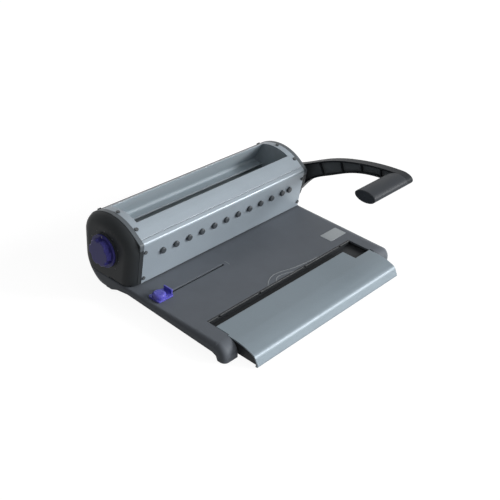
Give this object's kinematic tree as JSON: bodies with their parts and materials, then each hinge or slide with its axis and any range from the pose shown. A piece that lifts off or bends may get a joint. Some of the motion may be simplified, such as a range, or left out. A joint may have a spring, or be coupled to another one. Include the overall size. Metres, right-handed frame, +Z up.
{
  "type": "manual punch and wire closing machine",
  "caption": "Manual desktop machine that punches sheets along a long hood and closes binding wire in a front jaw, worked by one side lever with a long cross grip.",
  "frame": {"origin": "middle of the footprint, on the surface the machine stands on", "axes": "+X along the punch line to the lever side, -Y towards the operator and the closer plate, +Z up"},
  "size_m": [0.408, 0.321, 0.1416],
  "materials": {
    "deck_plastic": "fine-textured moulding",
    "cap_plastic": "fine-textured moulding",
    "trim_plastic": "satin moulding",
    "silver_panel": "satin silver paint",
    "closer_sheet": "satin silver paint",
    "dark_steel": "black coating",
    "plain_steel": "machined",
    "bush_brass": "machined",
    "foot_rubber": "moulded",
    "lever_plastic": "satin moulding",
    "violet_plastic": "semi-gloss moulding",
    "guide_plastic": "semi-gloss moulding",
    "pin_plastic": "satin moulding",
    "tray_plastic": "fine-textured moulding"
  },
  "bodies": {
    "base": {"base_shell": "deck_plastic", "bottom_pan": "dark_steel", "pan_screws": "plain_steel", "rubber_feet": "foot_rubber", "end_cap_left": "cap_plastic", "end_cap_right": "cap_plastic", "trim_ring_left": "trim_plastic", "trim_ring_right": "trim_plastic", "front_panel": "silver_panel", "top_cover": "silver_panel", "rear_casing": "cap_plastic", "panel_screws": "dark_steel", "wire_tray": "silver_panel", "inner_shield": "dark_steel", "trough_ends": "dark_steel", "side_frame_left": "plain_steel", "side_frame_right": "plain_steel", "shaft_bushes": "bush_brass", "tie_bars": "plain_steel", "die_block": "plain_steel", "punch_guide": "plain_steel", "closer_bed": "dark_steel", "fixed_jaw": "dark_steel", "knob_flange": "cap_plastic"},
    "lever": {"lever_arm": "lever_plastic", "lever_plate": "dark_steel", "grip": "lever_plastic", "lever_shaft": "plain_steel", "press_cams": "plain_steel", "closing_cams": "plain_steel", "stop_pin": "plain_steel", "hub_screw": "dark_steel"},
    "size_dial": {"size_knob": "violet_plastic", "knob_shaft": "plain_steel", "limit_cam": "plain_steel"},
    "punch": {"punch_bar": "plain_steel", "punch_pins": "plain_steel", "punch_yokes": "plain_steel"},
    "closer": {"closer_plate": "closer_sheet", "closer_ends": "cap_plastic", "closer_carrier": "cap_plastic", "closer_crossbar": "plain_steel", "push_rods": "plain_steel", "rod_followers": "plain_steel"},
    "guide": {"edge_guide": "guide_plastic", "guide_clamp": "plain_steel"},
    "pull_pin_01_body": {"pull_pin_01": "pin_plastic"},
    "pull_pin_02_body": {"pull_pin_02": "pin_plastic"},
    "pull_pin_03_body": {"pull_pin_03": "pin_plastic"},
    "pull_pin_04_body": {"pull_pin_04": "pin_plastic"},
    "pull_pin_05_body": {"pull_pin_05": "pin_plastic"},
    "pull_pin_06_body": {"pull_pin_06": "pin_plastic"},
    "pull_pin_07_body": {"pull_pin_07": "pin_plastic"},
    "pull_pin_08_body": {"pull_pin_08": "pin_plastic"},
    "pull_pin_09_body": {"pull_pin_09": "pin_plastic"},
    "pull_pin_10_body": {"pull_pin_10": "pin_plastic"},
    "pull_pin_11_body": {"pull_pin_11": "pin_plastic"},
    "pull_pin_12_body": {"pull_pin_12": "pin_plastic"},
    "chip_drawer": {"chip_tray": "tray_plastic"}
  },
  "joints": [
    {"name": "lever_hinge", "type": "hinge", "parent": "base", "child": "lever", "pos_m": [0.194, 0.108, 0.046], "axis": [-1, 0, 0], "range_deg": [0, 70]},
    {"name": "punch_slide", "type": "slide", "parent": "base", "child": "punch", "axis": [0, 0, 1], "range_m": [0, 0.008]},
    {"name": "closer_slide", "type": "slide", "parent": "base", "child": "closer", "axis": [0, -1, 0], "range_m": [0, 0.01]},
    {"name": "size_turn", "type": "hinge", "parent": "base", "child": "size_dial", "pos_m": [-0.1975, 0.108, 0.067], "axis": [1, 0, 0], "range_deg": [0, 270]},
    {"name": "guide_slide", "type": "slide", "parent": "base", "child": "guide", "axis": [1, 0, 0], "range_m": [0, 0.123]},
    {"name": "pull_pin_01_pull", "type": "slide", "parent": "base", "child": "pull_pin_01_body", "axis": [0, -0.9928, -0.1199], "range_m": [0, 0.0045]},
    {"name": "pull_pin_02_pull", "type": "slide", "parent": "base", "child": "pull_pin_02_body", "axis": [0, -0.9928, -0.1199], "range_m": [0, 0.0045]},
    {"name": "pull_pin_03_pull", "type": "slide", "parent": "base", "child": "pull_pin_03_body", "axis": [0, -0.9928, -0.1199], "range_m": [0, 0.0045]},
    {"name": "pull_pin_04_pull", "type": "slide", "parent": "base", "child": "pull_pin_04_body", "axis": [0, -0.9928, -0.1199], "range_m": [0, 0.0045]},
    {"name": "pull_pin_05_pull", "type": "slide", "parent": "base", "child": "pull_pin_05_body", "axis": [0, -0.9928, -0.1199], "range_m": [0, 0.0045]},
    {"name": "pull_pin_06_pull", "type": "slide", "parent": "base", "child": "pull_pin_06_body", "axis": [0, -0.9928, -0.1199], "range_m": [0, 0.0045]},
    {"name": "pull_pin_07_pull", "type": "slide", "parent": "base", "child": "pull_pin_07_body", "axis": [0, -0.9928, -0.1199], "range_m": [0, 0.0045]},
    {"name": "pull_pin_08_pull", "type": "slide", "parent": "base", "child": "pull_pin_08_body", "axis": [0, -0.9928, -0.1199], "range_m": [0, 0.0045]},
    {"name": "pull_pin_09_pull", "type": "slide", "parent": "base", "child": "pull_pin_09_body", "axis": [0, -0.9928, -0.1199], "range_m": [0, 0.0045]},
    {"name": "pull_pin_10_pull", "type": "slide", "parent": "base", "child": "pull_pin_10_body", "axis": [0, -0.9928, -0.1199], "range_m": [0, 0.0045]},
    {"name": "pull_pin_11_pull", "type": "slide", "parent": "base", "child": "pull_pin_11_body", "axis": [0, -0.9928, -0.1199], "range_m": [0, 0.0045]},
    {"name": "pull_pin_12_pull", "type": "slide", "parent": "base", "child": "pull_pin_12_body", "axis": [0, -0.9928, -0.1199], "range_m": [0, 0.0045]},
    {"name": "chip_tray_slide", "type": "slide", "parent": "base", "child": "chip_drawer", "axis": [0, 1, 0], "range_m": [0, 0.095]}
  ],
  "couplings": [
    {"joint": "punch_slide", "follows": "lever_hinge", "m_per_rad": 0.006548},
    {"joint": "closer_slide", "follows": "lever_hinge", "m_per_rad": 0.008185}
  ]
}
